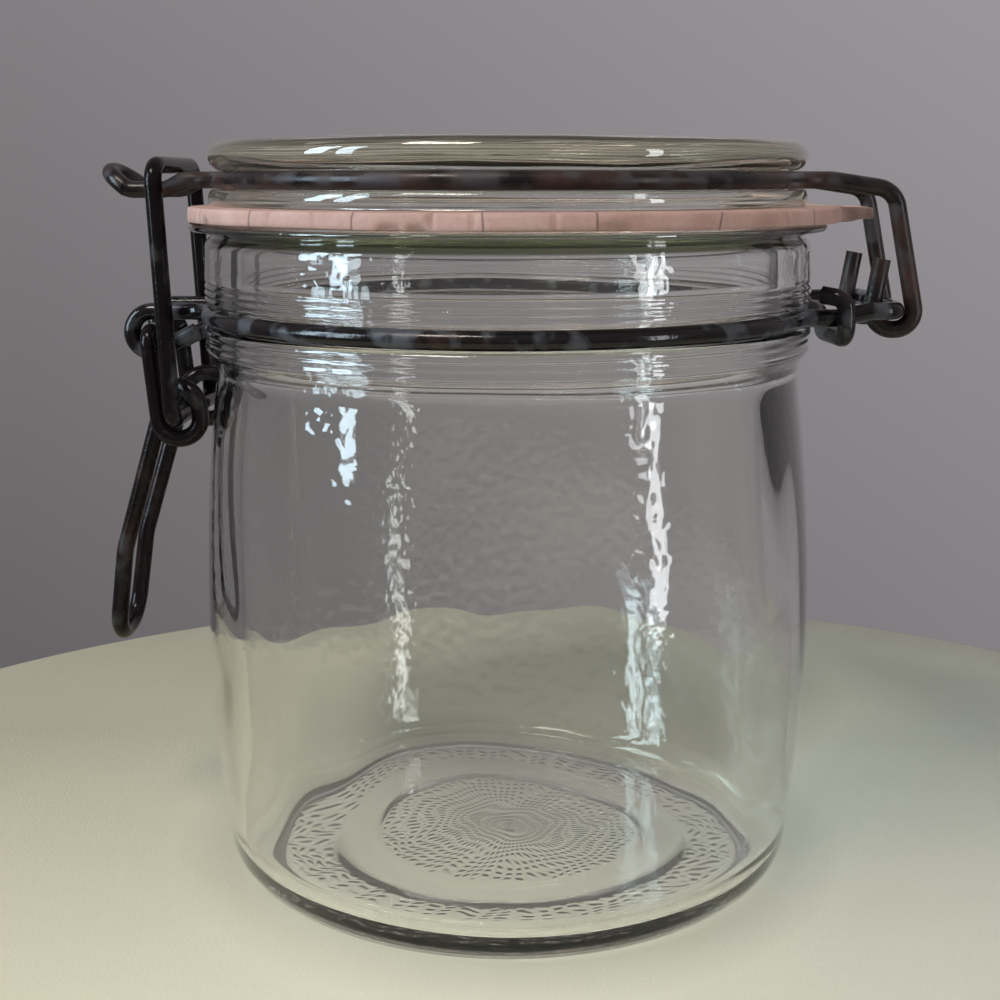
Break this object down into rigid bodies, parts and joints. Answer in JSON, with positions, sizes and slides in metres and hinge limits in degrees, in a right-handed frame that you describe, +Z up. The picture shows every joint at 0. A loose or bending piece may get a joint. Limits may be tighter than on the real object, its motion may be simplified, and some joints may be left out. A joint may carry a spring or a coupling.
{
  "type": "clip-top jar",
  "caption": "Empty clear glass preserving jar with a glass lid on a wire hinge, a rubber seal ring and an over-centre wire lever that clips the lid shut.",
  "frame": {"origin": "on the jar's upright axis in the plane of the foot, which lies within 1 mm of the middle of the underside of the bounding box", "axes": "+Z up along the jar's axis, +X towards the lid's hinge, -X towards the latch"},
  "size_m": [0.1349, 0.1078, 0.117],
  "materials": {
    "clear_glass": "clear, wavy, faint olive tint",
    "old_wire": "dull zinc with brown rust",
    "pink_rubber": "matt, aged and cracked"
  },
  "bodies": {
    "jar": {"jar_glass": "clear_glass", "neck_wire_front": "old_wire", "neck_wire_back": "old_wire"},
    "lid": {"lid_glass": "clear_glass", "lid_wire": "old_wire", "seal_ring": "pink_rubber"},
    "lever": {"lever": "old_wire"},
    "bail": {"bail": "old_wire"}
  },
  "joints": [
    {"name": "lid_hinge", "type": "hinge", "parent": "jar", "child": "lid", "pos_m": [0.0619, 0, 0.0902], "axis": [0, 1, 0], "range_deg": [0, 110]},
    {"name": "lever_hinge", "type": "hinge", "parent": "jar", "child": "lever", "pos_m": [-0.0586, 0, 0.08575], "axis": [0, 1, 0], "range_deg": [0, 110]},
    {"name": "bail_hinge", "type": "hinge", "parent": "lever", "child": "bail", "pos_m": [-0.05378, 0, 0.07183], "axis": [0, 1, 0], "range_deg": [-97, 0]}
  ],
  "couplings": [
    {"joint": "bail_hinge", "follows": "lever_hinge", "ratio": -0.88}
  ]
}
